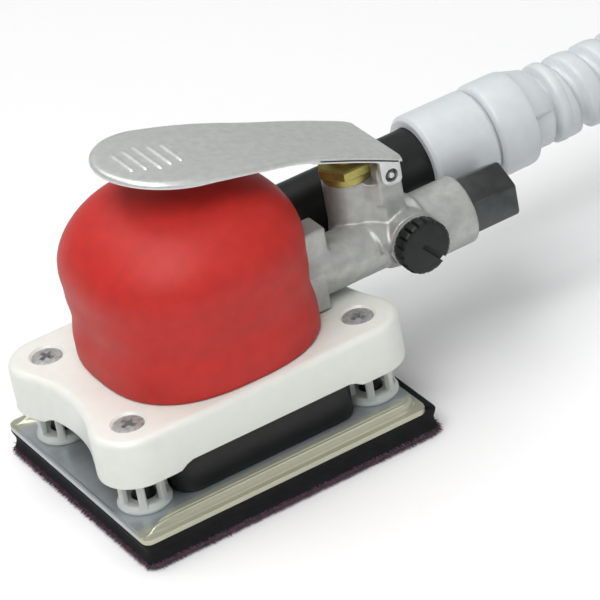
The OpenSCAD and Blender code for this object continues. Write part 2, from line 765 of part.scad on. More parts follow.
module regulator_knob() {
  notch_r = 0.55;
  notch_count = 18;
  slot_w = 1.3;
  face = -knob_face;
  back = -collar_face + 0.15;
  color([0.14, 0.14, 0.15]) translate([knob_x, 0, knob_z]) towards_near_side() difference() {
    union() {
      translate([0, 0, -arm_y + 3]) cylinder(r = knob_stem_r, h = back + arm_y - 3 + over);
      translate([0, 0, back]) cylinder(r = knob_r, h = face - back - 1);
      translate([0, 0, face - 1]) cylinder(r1 = knob_r, r2 = knob_r - 0.8, h = 1);
    }
    for (i = [0 : notch_count - 1]) rotate(i * 360 / notch_count)
      translate([knob_r, 0, back - over]) cylinder(r = notch_r, h = 3.2 + over);
    rotate(-49) translate([-2 * knob_r, -slot_w / 2, face - 1.6]) cube([4 * knob_r, slot_w, 3]);
  }
}

// ---- dust outlet ----

module on_tube() translate([0, tube_y, tube_z]) along_x() children();

module exhaust_tube() {
  color([0.12, 0.12, 0.13]) on_tube() tube(tube_r - 0.02, tube_r - tube_wall, saddle[0] - tube_seat + 0.1, tube_end);
}

module swivel_sleeve() {
  mouth = 1;
  color([0.88, 0.89, 0.9]) on_tube() union() {
    tube(sleeve_r - 0.7, tube_r + running, sleeve_x[0], sleeve_x[0] + mouth);
    tube(sleeve_r, tube_r + running, sleeve_x[0] + mouth, tube_end);
    tube(sleeve_r, tube_r - 1, tube_end + 0.2, sleeve_x[1]);
    tube(sleeve_r, tube_r + running, tube_end, tube_end + 0.2);
  }
}

module hose_cuff() {
  bore = hose_r - 3;
  color([0.85, 0.86, 0.87]) on_tube() union() {
    tube(cuff_r - 0.8, bore, cuff_x[0], cuff_x[0] + 0.9);
    tube(cuff_r, bore, cuff_x[0] + 0.9, cuff_x[1] - 1.4);
    tube(cuff_r - 1, bore, cuff_x[1] - 1.4, cuff_x[1]);
    tube(hose_r - 0.6, bore, cuff_x[1], cuff_x[1] + 1.2);
    tube(hose_r + 0.3, bore, cuff_x[1] + 1.2, cuff_collar_x);
  }
}

function unit(v) = v / norm(v);
function route_way(path, i) = unit(path[min(i + 1, len(path) - 1)] - path[max(i - 1, 0)]);
function ring(p, way, r, sides) = let (across = unit(cross(way, [0, 0, 1])), up = cross(across, way))
  [for (k = [0 : sides - 1]) p + r * (cos(k * 360 / sides) * across + sin(k * 360 / sides) * up)];

module swept_tube(path, r, sides) {
  n = len(path);
  points = [for (i = [0 : n - 1]) each ring(path[i], route_way(path, i), r, sides)];
  walls = [for (i = [0 : n - 2], k = [0 : sides - 1]) let (
      a = i * sides + k,
      b = i * sides + (k + 1) % sides
    ) each [[a, a + sides, b], [b, a + sides, b + sides]]];
  first = [[for (k = [0 : sides - 1]) k]];
  last = [[for (k = [sides - 1 : -1 : 0]) (n - 1) * sides + k]];
  polyhedron(points, concat(first, walls, last));
}

module dust_hose() {
  color([0.86, 0.88, 0.91]) swept_tube(hose_route, hose_r, 12);
}

// Where the hose ends: its cuff lies on the ground and points the way the coil turns.
module at_coil_end() {
  end = [coil_end_r * cos(coil_end_angle), coil_end_r * sin(coil_end_angle), end_cuff_r];
  translate([coil_centre.x, coil_centre.y, 0] + end) rotate([0, 90, coil_end_angle - 90]) children();
}

module hose_coil() {
  inner = coil_start - hose_r;
  outer = coil_end_r + hose_r;
  room = 0.3;
  color([0.86, 0.88, 0.91]) difference() {
    translate([coil_centre.x, coil_centre.y, 0]) rotate_extrude($fn = 96) {
      translate([inner + hose_r, 0]) square([outer - inner - hose_d, hose_d]);
      for (x = [inner + hose_r, outer - hose_r]) translate([x, hose_r]) circle(hose_r, $fn = 24);
    }
    at_coil_end() cylinder(r = end_cuff_r + room, h = coil_end_r);
  }
}

module hose_end_cuff() {
  bore = 9.5;
  lip = 2;
  color([0.85, 0.86, 0.87]) at_coil_end() union() {
    tube(end_cuff_r, bore, 0, end_cuff_l - lip);
    tube(end_cuff_r - 0.8, bore, end_cuff_l - lip, end_cuff_l);
  }
}

grip_cover();
motor_housing();
lever_pins();
valve_bushing();
valve_seat();
valve_spring();
inlet_bushing();
inlet_screen();
regulator_collar();
exhaust_tube();
hose_cuff();
dust_hose();
hose_coil();
hose_end_cuff();
housing_gasket();
housing_screws();
motor_cylinder();
upper_end_plate();
lower_end_plate();
upper_bearing();
lower_bearing();
shroud();
shroud_screws();
leg(1);  // leg_1
leg(2);  // leg_2
leg(3);  // leg_3
leg(4);  // leg_4
dust_skirt();
throttle_lever();
valve_stem();
regulator_knob();
swivel_sleeve();
rotor();
vanes();
rotor_shaft();
counterweight();
spindle_bolt();
spindle_washer();
pad_bearing();
pad_hub();
hub_screws();
pad_plate();
pad_rubber();
hook_face();
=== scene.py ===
"""Looks of a palm orbital sander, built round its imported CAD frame.

Lengths in the shape functions are millimetres in the part's frame; build_mesh() turns them into metres.
"""

import json
import math
import random

import bmesh
import bpy
from mathutils import Matrix, Vector


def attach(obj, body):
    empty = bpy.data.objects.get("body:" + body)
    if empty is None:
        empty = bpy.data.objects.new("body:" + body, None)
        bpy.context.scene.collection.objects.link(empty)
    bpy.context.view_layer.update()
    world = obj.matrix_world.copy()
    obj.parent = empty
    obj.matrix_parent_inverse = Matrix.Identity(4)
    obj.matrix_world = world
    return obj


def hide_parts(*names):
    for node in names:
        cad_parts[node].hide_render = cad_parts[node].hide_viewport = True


MM = 0.001
ORBIT = -1.2  # the pad's axis, from the motor axis along Y
TUBE_Y, TUBE_Z = 16.0, 45.9  # axis of the dust outlet
ARM_Y, ARM_Z = -8.0, 41.4  # axis of the air inlet
VALVE_X, VALVE_Y = 51, -2
KNOB_X, KNOB_Z = 60.5, 44
LEG_X, LEG_Y = 36, 23.1
LEGS = [(-LEG_X, LEG_Y), (-LEG_X, -LEG_Y), (LEG_X, -LEG_Y), (LEG_X, LEG_Y)]
SHROUD_TOP = 34.2

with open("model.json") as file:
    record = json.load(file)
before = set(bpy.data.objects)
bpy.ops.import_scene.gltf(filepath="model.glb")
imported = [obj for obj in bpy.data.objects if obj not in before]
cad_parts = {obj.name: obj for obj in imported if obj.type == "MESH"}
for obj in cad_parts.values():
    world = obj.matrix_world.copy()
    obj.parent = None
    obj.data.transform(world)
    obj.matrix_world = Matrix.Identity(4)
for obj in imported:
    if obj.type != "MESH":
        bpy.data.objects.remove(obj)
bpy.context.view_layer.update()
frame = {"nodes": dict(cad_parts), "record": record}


# ---- camera ----

VIEW_AZIMUTH, VIEW_ELEVATION, VIEW_ROLL = -25.35, 31.09, -11.18  # degrees
VIEW_TARGET = (0, 0, 0.030)
VIEW_RIGHT, VIEW_UP, VIEW_BACK = 0.02604, 0.01297, 1.15579  # metres from the target
VIEW_LENS = 255.75


def make_camera():
    azimuth, elevation, roll = (math.radians(a) for a in (VIEW_AZIMUTH, VIEW_ELEVATION, VIEW_ROLL))
    level = Vector((math.cos(azimuth), math.sin(azimuth), 0))
    outward = Vector((math.sin(azimuth), -math.cos(azimuth), 0))
    back = outward * math.cos(elevation) + Vector((0, 0, math.sin(elevation)))
    above = back.cross(level)
    right = math.cos(roll) * level + math.sin(roll) * above
    up = math.cos(roll) * above - math.sin(roll) * level
    place = Vector(VIEW_TARGET) + VIEW_RIGHT * right + VIEW_UP * up + VIEW_BACK * back
    data = bpy.data.cameras.new("camera")
    data.lens = VIEW_LENS
    data.clip_start = 0.1
    data.clip_end = 10
    camera = bpy.data.objects.new("camera", data)
    bpy.context.scene.collection.objects.link(camera)
    camera.matrix_world = Matrix([[right[i], up[i], back[i], place[i]] for i in range(3)] + [[0, 0, 0, 1]])
    bpy.context.scene.camera = camera


make_camera()


# ---- materials ----


def linear(colour):
    return [((c / 255 + 0.055) / 1.055) ** 2.4 if c > 10 else c / 255 / 12.92 for c in colour]


def material(
    name, colour, rough, metal=0.0, vary=0.05, patch=250.0, grain=3000.0, bump=0.03, streak=(1, 1, 1),
    **shader
):
    """A principled material with patches of colour, uneven roughness and a fine grain.

    colour is in sRGB, 0 to 255; patch and grain are noise scales per metre; bump is the grain's height in mm.
    """
    mat = bpy.data.materials.new(name)
    mat.use_nodes = True
    nodes, links = mat.node_tree.nodes, mat.node_tree.links
    surface = nodes["Principled BSDF"]
    surface.inputs["Metallic"].default_value = metal
    for key, value in shader.items():
        surface.inputs[key.replace("_", " ")].default_value = value
    place = nodes.new("ShaderNodeTexCoord")
    stretch = nodes.new("ShaderNodeMapping")
    stretch.inputs["Scale"].default_value = streak
    links.new(place.outputs["Object"], stretch.inputs["Vector"])

    def noise(scale, detail):
        node = nodes.new("ShaderNodeTexNoise")
        node.inputs["Scale"].default_value = scale
        node.inputs["Detail"].default_value = detail
        links.new(stretch.outputs["Vector"], node.inputs["Vector"])
        return node

    patches = noise(patch, 4)
    fine = noise(grain, 3)
    ramp = nodes.new("ShaderNodeValToRGB")
    base = linear(colour)
    for stop, position, share in zip(ramp.color_ramp.elements, (0.3, 0.7), (1 - vary, 1 + vary)):
        stop.position = position
        stop.color = [min(1, c * share) for c in base] + [1]
    links.new(patches.outputs["Fac"], ramp.inputs["Fac"])
    links.new(ramp.outputs["Color"], surface.inputs["Base Color"])
    gloss = nodes.new("ShaderNodeMapRange")
    gloss.inputs["To Min"].default_value = rough * 0.85
    gloss.inputs["To Max"].default_value = min(1, rough * 1.15)
    links.new(fine.outputs["Fac"], gloss.inputs["Value"])
    links.new(gloss.outputs["Result"], surface.inputs["Roughness"])
    relief = nodes.new("ShaderNodeBump")
    relief.inputs["Strength"].default_value = 0.6
    relief.inputs["Distance"].default_value = bump * MM
    links.new(fine.outputs["Fac"], relief.inputs["Height"])
    links.new(relief.outputs["Normal"], surface.inputs["Normal"])
    return mat


TINT_FROM, TINT_TO = 0.0325, 0.0352  # metres from the plate's middle line, where the tint begins and is full


def add_bead_tint(mat, colour):
    """A yellow tint along the plate's long edges, fading towards its middle."""
    nodes, links = mat.node_tree.nodes, mat.node_tree.links
    surface = nodes["Principled BSDF"]
    plain = surface.inputs["Base Color"].links[0].from_socket
    place = nodes.new("ShaderNodeTexCoord")
    split = nodes.new("ShaderNodeSeparateXYZ")
    shift = nodes.new("ShaderNodeMath")
    size = nodes.new("ShaderNodeMath")
    reach = nodes.new("ShaderNodeMapRange")
    mix = nodes.new("ShaderNodeMix")
    links.new(place.outputs["Object"], split.inputs["Vector"])
    shift.operation = "SUBTRACT"
    shift.inputs[1].default_value = ORBIT * MM
    links.new(split.outputs["Y"], shift.inputs[0])
    size.operation = "ABSOLUTE"
    links.new(shift.outputs["Value"], size.inputs[0])
    reach.inputs["From Min"].default_value = TINT_FROM
    reach.inputs["From Max"].default_value = TINT_TO
    links.new(size.outputs["Value"], reach.inputs["Value"])
    mix.data_type = "RGBA"
    mix_a, mix_b = [i for i in mix.inputs if i.type == "RGBA"]
    mix_b.default_value = linear(colour) + [1]
    links.new(plain, mix_a)
    links.new(reach.outputs["Result"], mix.inputs["Factor"])
    links.new([o for o in mix.outputs if o.type == "RGBA"][0], surface.inputs["Base Color"])


SLOTS = {
    "grip_rubber": dict(colour=(186, 40, 34), rough=0.5, vary=0.07, bump=0.05, Specular_IOR_Level=0.35),
    "cast_aluminium": dict(
        colour=(178, 180, 176), rough=0.45, metal=0.6, vary=0.12, patch=320, bump=0.12, grain=1800
    ),
    "motor_steel": dict(colour=(150, 150, 152), rough=0.3, metal=1.0, vary=0.06),
    "lever_steel": dict(
        colour=(212, 214, 212), rough=0.36, metal=0.55, vary=0.07, patch=420, bump=0.05, grain=1500
    ),
    "plate_steel": dict(colour=(178, 184, 188), rough=0.3, metal=0.6, vary=0.08, streak=(0.04, 1, 1)),
    "screw_steel": dict(colour=(158, 160, 160), rough=0.45, metal=0.3, vary=0.3, patch=900, bump=0.06),
    "brass": dict(colour=(176, 166, 96), rough=0.36, metal=0.75, vary=0.15, patch=400),
    "black_steel": dict(colour=(84, 88, 87), rough=0.34, metal=0.85, vary=0.15, bump=0.05),
    "white_enamel": dict(colour=(226, 229, 222), rough=0.34, vary=0.02, Coat_Weight=0.1, Coat_Roughness=0.2),
    "nylon": dict(
        colour=(212, 217, 213), rough=0.4, vary=0.03, Subsurface_Weight=0.1, Subsurface_Scale=0.002
    ),
    "black_plastic": dict(
        colour=(24, 28, 26), rough=0.42, vary=0.3, patch=260, bump=0.04, Specular_IOR_Level=0.35
    ),
    "vane_plastic": dict(colour=(96, 60, 36), rough=0.5, vary=0.2),
    "black_rubber": dict(colour=(24, 26, 25), rough=0.5, vary=0.15, bump=0.05),
    "pad_rubber": dict(
        colour=(17, 18, 20), rough=0.8, vary=0.3, bump=0.2, grain=1600, Specular_IOR_Level=0.25
    ),
    "hook_fabric": dict(
        colour=(78, 48, 64), rough=0.9, vary=0.5, patch=500, grain=2500, bump=0.3, Sheen_Weight=0.3
    ),
    "hose_plastic": dict(colour=(206, 211, 214), rough=0.4, vary=0.03, Coat_Weight=0.1, Coat_Roughness=0.25),
}
MATERIALS = {name: material(name, **look) for name, look in SLOTS.items()}
add_bead_tint(MATERIALS["plate_steel"], (188, 188, 168))


# ---- mesh building ----


def shade(mesh, sharp):
    mesh.shade_smooth()
    mesh.set_sharp_from_angle(angle=math.radians(sharp))


def build_mesh(name, verts, faces, weld=0.0):
    """A mesh from vertices in mm, its faces turned outwards; weld joins vertices that near, in metres."""
    mesh = bpy.data.meshes.new(name)
    mesh.from_pydata([Vector(v) * MM for v in verts], [], faces)
    shape = bmesh.new()
    shape.from_mesh(mesh)
    if weld:
        bmesh.ops.remove_doubles(shape, verts=shape.verts, dist=weld)
    bmesh.ops.recalc_face_normals(shape, faces=shape.faces)
    shape.to_mesh(mesh)
    shape.free()
    return mesh


def new_piece(name, verts, faces, slot, body, replaces=(), sharp=35):
    """A smooth piece riding on a CAD body; edges over the sharp angle stay sharp."""
    mesh = build_mesh(name, verts, faces, weld=2e-6)
    shade(mesh, sharp)
    mesh.materials.append(MATERIALS[slot])
    piece = bpy.data.objects.new(name, mesh)
    bpy.context.scene.collection.objects.link(piece)
    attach(piece, body)
    if replaces:
        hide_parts(*replaces)
    return piece


def apply_modifiers(piece, sharp=35):
    bpy.context.view_layer.update()
    graph = bpy.context.evaluated_depsgraph_get()
    mesh = bpy.data.meshes.new_from_object(piece.evaluated_get(graph), depsgraph=graph)
    piece.modifiers.clear()
    piece.data = mesh
    shade(mesh, sharp)


def cut(piece, verts, faces):
    """Takes a closed shape, in mm, away from a piece."""
    cutter = bpy.data.objects.new("cutter", build_mesh("cutter", verts, faces))
    bpy.context.scene.collection.objects.link(cutter)
    modifier = piece.modifiers.new("cut", "BOOLEAN")
    modifier.operation = "DIFFERENCE"
    modifier.solver = "EXACT"
    modifier.object = cutter
    apply_modifiers(piece)
    bpy.data.objects.remove(cutter)


def bevel_edges(piece, width, angle):
    edge = piece.modifiers.new("edge", "BEVEL")
    edge.width = width * MM
    edge.segments = 2
    edge.limit_method = "ANGLE"
    edge.angle_limit = math.radians(angle)


def ease(t):
    t = max(0.0, min(1.0, t))
    return t * t * (3 - 2 * t)


def loft(rings, closed=False, caps=True):
    """Vertices and faces of a skin over rings of equal length; closed joins the last ring to the first."""
    count, total = len(rings[0]), len(rings)
    faces = []
    for i in range(total if closed else total - 1):
        a, b = i * count, (i + 1) % total * count
        for k in range(count):
            n = (k + 1) % count
            faces.append((a + k, a + n, b + n, b + k))
    if caps and not closed:
        faces.append(tuple(reversed(range(count))))
        faces.append(tuple((total - 1) * count + k for k in range(count)))
    return [p for ring in rings for p in ring], faces


def join(*parts):
    """Several (vertices, faces) pairs as one."""
    verts, faces = [], []
    for more_verts, more_faces in parts:
        faces += [tuple(i + len(verts) for i in f) for f in more_faces]
        verts += more_verts
    return verts, faces


def rounded(points, steps=5):
    """A closed outline from (u, v, corner radius) points, its corners turned into arcs."""
    outline = []
    for i, (u, v, r) in enumerate(points):
        here = Vector((u, v))
        before = Vector(points[i - 1][:2]) - here
        after = Vector(points[(i + 1) % len(points)][:2]) - here
        if r <= 0:
            outline.append((u, v))
            continue
        a, b = before.normalized(), after.normalized()
        half = math.acos(max(-1, min(1, a.dot(b)))) / 2
        trim = min(r / math.tan(half), 0.49 * min(before.length, after.length))
        r = trim * math.tan(half)
        centre = here + (a + b).normalized() * (r / math.sin(half))
        first, last = here + a * trim - centre, here + b * trim - centre
        turn = first.angle_signed(last)
        for s in range(steps + 1):
            c, w = math.cos(-turn * s / steps), math.sin(-turn * s / steps)
            outline.append((centre.x + first.x * c - first.y * w, centre.y + first.x * w + first.y * c))
    return outline


# A place function takes a height along an axis and two offsets across it, and gives the point.


def along_x(x, y, z):
    return lambda h, a, b: (x + h, y + a, z + b)


def to_near(x, y, z):
    return lambda h, a, b: (x + a, y - h, z + b)


def to_far(x, y, z):
    return lambda h, a, b: (x + a, y + h, z + b)


def upwards(x, y, z):
    return lambda h, a, b: (x + a, y + b, z + h)


def circle(place, h, r, sides):
    turns = [k * math.tau / sides for k in range(sides)]
    return [place(h, r * math.cos(a), r * math.sin(a)) for a in turns]


def hexagon(place, h, flats, rim):
    """A hexagon of a width across its flats; each side has points at the shares rim, half and 1 - rim."""
    corner = flats / 2 / math.cos(math.pi / 6)
    turns = [k * math.tau / 6 for k in range(7)]
    corners = [Vector((corner * math.cos(a), corner * math.sin(a))) for a in turns]
    points = []
    for p, q in zip(corners, corners[1:]):
        points += [place(h, *p.lerp(q, t)) for t in (rim, 0.5, 1 - rim)]
    return points


def revolve(profile, place, sides=96):
    """A closed (height, radius) profile turned about an axis."""
    return loft([circle(place, h, r, sides) for h, r in profile], closed=True)


def solid_cylinder(r, h0, h1, place, sides=64, r_end=None):
    """A cylinder, or a cone when its end has a radius of its own."""
    return loft([circle(place, h0, r, sides), circle(place, h1, r if r_end is None else r_end, sides)])


def solid_box(low, high):
    corners = [(x, y, z) for z in (low[2], high[2]) for y in (low[1], high[1]) for x in (low[0], high[0])]
    return corners, [(0, 2, 3, 1), (4, 5, 7, 6), (0, 1, 5, 4), (2, 6, 7, 3), (0, 4, 6, 2), (1, 3, 7, 5)]


def upright(outline, low, high):
    """A solid over an (x, y) outline, between two heights."""
    return loft([[(x, y, z) for x, y in outline] for z in (low, high)])


def prism(outline, place, depth, bevel):
    """A slab with rounded edges over an outline that runs counter-clockwise."""

    def ring(h, inset):
        points = []
        for i, p in enumerate(outline):
            along = Vector(outline[(i + 1) % len(outline)]) - Vector(outline[i - 1])
            across = Vector((along.y, -along.x)).normalized()
            points.append(place(h, p[0] - across.x * inset, p[1] - across.y * inset))
        return points

    third = bevel * 0.3
    steps = [(0, bevel), (third, third), (bevel, 0)]
    steps += [(depth - bevel, 0), (depth - third, third), (depth, bevel)]
    return loft([ring(h, inset) for h, inset in steps])


# ---- dust hose ----

HOSE_ROUTE = [
    (126, 16, 45.9), (138, 16, 45.9), (150, 16, 45.9), (160, 16, 45.6), (170, 16, 44.7),
    (180, 16, 43.2), (190, 16, 41.1), (200, 16, 38.4), (210, 16, 35.1), (220, 16, 31),
    (230, 16, 26.5), (240, 16, 22.4), (250, 16, 19.1), (260, 16, 16.4), (270, 15.4, 14.3),
    (279.9, 13.8, 12.9), (289.6, 11.1, 12.05), (299.1, 7.5, 11.75), (308.1, 3, 11.75),
    (320.8, -5.6, 11.75),
]
HOSE_R = 11.75
HOSE_BORE_R = 8.0
HOSE_VALLEY_R = 8.9
HOSE_PITCH = 9.2
COIL_CENTRE = (255.0, -84.0)
COIL_R = 102.4  # where the coil begins; it grows by the hose's diameter each turn
COIL_FROM, COIL_SWEEP = 50.0, 483.0  # degrees, clockwise from above
END_CUFF_R = 13.4


def coil_point(turned):
    r = COIL_R + 2 * HOSE_R * turned / 360
    a = math.radians(COIL_FROM - turned)
    return (COIL_CENTRE[0] + r * math.cos(a), COIL_CENTRE[1] + r * math.sin(a), HOSE_R)


def curve_through(points, steps=12):
    """A smooth curve through the points, with a number of steps from each to the next."""
    p = [Vector(q) for q in points]
    curve = []
    for i in range(len(p) - 1):
        before, after = p[max(i - 1, 0)], p[min(i + 2, len(p) - 1)]
        gap = (p[i + 1] - p[i]).length
        m0 = (p[i + 1] - before).normalized() * gap
        m1 = (after - p[i]).normalized() * gap
        for s in range(steps):
            t = s / steps
            ends = p[i] * (2 * t**3 - 3 * t**2 + 1) + p[i + 1] * (3 * t**2 - 2 * t**3)
            curve.append(ends + m0 * (t**3 - 2 * t**2 + t) + m1 * (t**3 - t**2))
    return curve + [p[-1]]


def evenly(curve, spacing):
    """Points a given distance apart along a curve."""
    line, left = [curve[0]], spacing
    for a, b in zip(curve, curve[1:]):
        gap = (b - a).length
        while gap >= left:
            a = a + (b - a).normalized() * left
            line.append(a)
            gap -= left
            left = spacing
        left -= gap
    return line


def corrugation(t):
    """Height of the hose's wall at a share t of its pitch, from 0 in the valley to 1 on the crest."""
    t %= 1.0
    rise = 0.16
    fall = 1 - rise
    return ease(t / rise) * ease((fall - t) / rise) * (0.86 + 0.14 * math.sin(math.pi * t / fall))


def make_hose():
    coil_steps, per_pitch, sides = 48, 16, 30
    coil = [coil_point(COIL_SWEEP * i / coil_steps) for i in range(1, coil_steps + 1)]
    line = evenly(curve_through(HOSE_ROUTE + coil), HOSE_PITCH / per_pitch)
    last = len(line) - 1
    turns = [k * math.tau / sides for k in range(sides)]
    outer, inner = [], []
    for i, p in enumerate(line):
        way = (line[min(i + 1, last)] - line[max(i - 1, 0)]).normalized()
        across = way.cross(Vector((0, 0, 1))).normalized()
        above = across.cross(way)
        spokes = [math.cos(a) * across + math.sin(a) * above for a in turns]
        heights = [corrugation(i / per_pitch + k / sides + 0.2) for k in range(sides)]
        radii = [HOSE_VALLEY_R + (HOSE_R - HOSE_VALLEY_R) * h for h in heights]
        outer.append([p + r * v for r, v in zip(radii, spokes)])
        if i % (per_pitch // 2) == 0 or i == last:
            inner.append([p + HOSE_BORE_R * v for v in spokes])
    tube = loft(outer + inner[::-1], closed=True)
    hose = new_piece("hose", *tube, "hose_plastic", "housing", ("dust_hose", "hose_coil"), sharp=60)
    return hose, line


def make_hose_end():
    """The plain cuff on the hose's far end."""
    end = coil_point(COIL_SWEEP)
    a = math.radians(COIL_FROM - COIL_SWEEP)
    way = Vector((math.sin(a), -math.cos(a), 0))
    side = Vector((0, 0, 1)).cross(way)
    origin = Vector((end[0], end[1], END_CUFF_R))

    def place(h, u, v):
        return origin + way * h + side * u + Vector((0, 0, v))

    r, bore, long = END_CUFF_R, 9.5, 45
    profile = rounded([
        (0, bore, 0.2), (0, r - 0.5, 0.8), (12, r, 1.2), (13, r - 0.6, 0.3), (15, r - 0.6, 0.3),
        (16, r, 0.8), (long - 2, r, 1.0), (long, r - 0.8, 0.4), (long, bore, 0.4),
    ])
    return new_piece("hose_end", *revolve(profile, place, 64), "hose_plastic", "housing", ("hose_end_cuff",))


hose, hose_line = make_hose()
hose_end = make_hose_end()


# ---- dust outlet ----

TUBE_R, TUBE_BORE_R = 10.38, 8.6
SLEEVE_R = 13.7
CUFF_R = 14.2
CUFF_NECK_R = 11.2
CUFF_RELIEF = (158, 335)  # degrees round the axis, between which the cuff's lower half is cut back


def make_outlet():
    on_tube = along_x(0, TUBE_Y, TUBE_Z)
    tube = rounded([(25.6, TUBE_BORE_R, 0), (25.6, TUBE_R, 0), (92, TUBE_R, 0.3), (92, TUBE_BORE_R, 0.3)])
    new_piece("exhaust_tube_skin", *revolve(tube, on_tube), "black_plastic", "housing", ("exhaust_tube",))
    over_tube, passage = 10.45, 9.4
    sleeve = rounded([
        (81.5, over_tube, 0.2), (81.5, SLEEVE_R - 1.1, 0.5), (82.4, SLEEVE_R, 0.8), (101.2, SLEEVE_R, 0.9),
        (102.5, SLEEVE_R - 1.3, 0.3), (102.5, passage, 0.2), (92.2, passage, 0), (92.2, over_tube, 0),
    ])
    new_piece("sleeve", *revolve(sleeve, on_tube, 128), "hose_plastic", "swivel", ("swivel_sleeve",))
    new_piece("cuff", *make_cuff(on_tube), "hose_plastic", "housing", ("hose_cuff",), sharp=50)


def make_cuff(on_tube):
    """The hose's moulded cuff, tapered with a relief round its lower half, then a groove and a collar."""
    mouth = [(102.9, 1.5), (103.1, 0.9), (103.6, 0.25), (104.4, 0), (109, 0), (113, 0), (114.6, 0.15)]
    taper = [(115.0, 0.3), (115.3, 0.5), (117, 1.0), (119, 1.6), (121, 2.2), (121.8, 2.6)]
    groove = [(122.0, 9.6), (122.3, 9.0), (123.8, 9.0), (124.1, 9.6)]
    collar = [(124.4, 11.2), (125.2, 11.8), (127.0, 11.9), (128.0, 11.5), (128.6, 10.4)]
    profile = [(102.9, HOSE_BORE_R)] + [(x, CUFF_R - less) for x, less in mouth + taper]
    profile += groove + collar + [(128.6, HOSE_BORE_R)]
    sides, rings = 144, []
    for x, r in profile:
        ring = []
        for k in range(sides):
            a = math.tau * k / sides
            turn = math.degrees(a)
            low = ease((turn - CUFF_RELIEF[0]) / 6) * ease((CUFF_RELIEF[1] - turn) / 6)
            relief = low * max(0.0, r - CUFF_NECK_R) if 115.1 < x < 122 else 0.0
            ring.append(on_tube(x, (r - relief) * math.cos(a), (r - relief) * math.sin(a)))
        rings.append(ring)
    return loft(rings, closed=True)


make_outlet()
Vector(HOSE_ROUTE[0]) * MM


# ---- grip ----

GRIP_X = -0.8
GRIP_WAIST = [(34.2, 31.4), (40, 31.4), (47, 30.6), (55, 31.5), (62.5, 32.3)]  # height and half width
CROWN_Z, CROWN_R = GRIP_WAIST[-1]
CROWN_HEIGHT = 20.3


def grip_half(z):
    if z > CROWN_Z:
        return CROWN_R * math.sqrt(max(0, 1 - ((z - CROWN_Z) / CROWN_HEIGHT) ** 2))
    for (z0, r0), (z1, r1) in zip(GRIP_WAIST, GRIP_WAIST[1:]):
        if z <= z1:
            return r0 + (r1 - r0) * ease((z - z0) / (z1 - z0))


def make_grip():
    """The rubber grip: squarish at its foot, and rounder towards its domed crown."""
    levels = [(34.2, -0.9), (34.35, -0.45), (34.8, -0.1), (35.4, 0.0)]
    levels += [(36 + i * 1.5, 0.0) for i in range(18)]
    levels += [(CROWN_Z + CROWN_HEIGHT * math.sin(math.radians(a)), 0.0) for a in range(4, 88, 4)]
    sides, rings = 120, []
    for z, more in levels:
        power = 2.6 - 0.5 * ease((z - 45) / 30)
        r = grip_half(z) + more
        ring = []
        for k in range(sides):
            a = k * math.tau / sides
            w = (abs(math.cos(a)) ** power + abs(math.sin(a)) ** power) ** (-1 / power)
            ring.append((GRIP_X + r * w * math.cos(a), r * w * math.sin(a), z))
        rings.append(ring)
    new_piece("grip", *loft(rings), "grip_rubber", "housing", ("grip_cover",), sharp=60)


make_grip()


# ---- shroud, screws and legs ----

BOSS_R = 11.0
WEB_R = 44.9  # radius of the hollow between two bosses at an end
WEB_X = 42 + WEB_R
EDGE_Z, ARCH = 20, 2  # the lower edge at the bosses, and its rise between them


def lower_edge(past):
    """Height of the shroud's lower edge; past is how far a point lies past the arch's end, towards a boss."""
    return EDGE_Z + ARCH - ARCH * ease(past / 4)


def shroud_outline():
    """The shroud's outline as (x, y, outward x, outward y, height of the lower edge)."""
    lean = math.asin(LEG_Y / (WEB_R + BOSS_R))
    half_w = LEG_Y + BOSS_R
    side_steps, boss_steps, web_steps = 19, 20, 9
    quarter = []
    for i in range(side_steps):
        x = LEG_X * i / side_steps
        quarter.append((x, half_w, 0, 1, lower_edge(x - 25)))
    for i in range(boss_steps + 1):
        a = math.pi / 2 - (math.pi / 2 + lean) * i / boss_steps
        u, v = math.cos(a), math.sin(a)
        quarter.append((LEG_X + BOSS_R * u, LEG_Y + BOSS_R * v, u, v, EDGE_Z))
    for i in range(1, web_steps + 1):
        a = math.pi - lean + lean * i / web_steps
        u, v = math.cos(a), math.sin(a)
        quarter.append((WEB_X + WEB_R * u, WEB_R * v, -u, -v, lower_edge(WEB_R * v - 11)))
    right = quarter + [(x, -y, u, -v, z) for x, y, u, v, z in quarter[-2:0:-1]]
    return right + [(-x, -y, -u, -v, z) for x, y, u, v, z in right]


def make_shroud():
    outline = shroud_outline()

    def ring(inset, height):
        return [(x - u * inset, y - v * inset, height(z)) for x, y, u, v, z in outline]

    wall, ceiling, shoulder = 3.0, 30.7, 28.0
    rings = [
        ring(wall, lambda z: ceiling), ring(wall, lambda z: z + 0.4), ring(wall - 0.4, lambda z: z),
        ring(0.5, lambda z: z), ring(0.12, lambda z: z + 0.15), ring(0, lambda z: z + 0.6),
        ring(0, lambda z: shoulder),
    ]
    soft = 2.0
    for i in range(7):
        a = math.radians(15 * i)
        rings.append(ring(soft * (1 - math.cos(a)), lambda z, a=a: SHROUD_TOP - soft + soft * math.sin(a)))
    rings.append(ring(soft + 0.7, lambda z: SHROUD_TOP))
    shroud = new_piece("shroud_shell", *loft(rings), "white_enamel", "housing", ("shroud",), sharp=50)
    for x, y in LEGS:
        at = upwards(x, y, SHROUD_TOP)
        cut(shroud, *solid_cylinder(2.6, -2.5, 0, at, r_end=5.0))
        cut(shroud, *solid_cylinder(5.0, 0, 3, at))


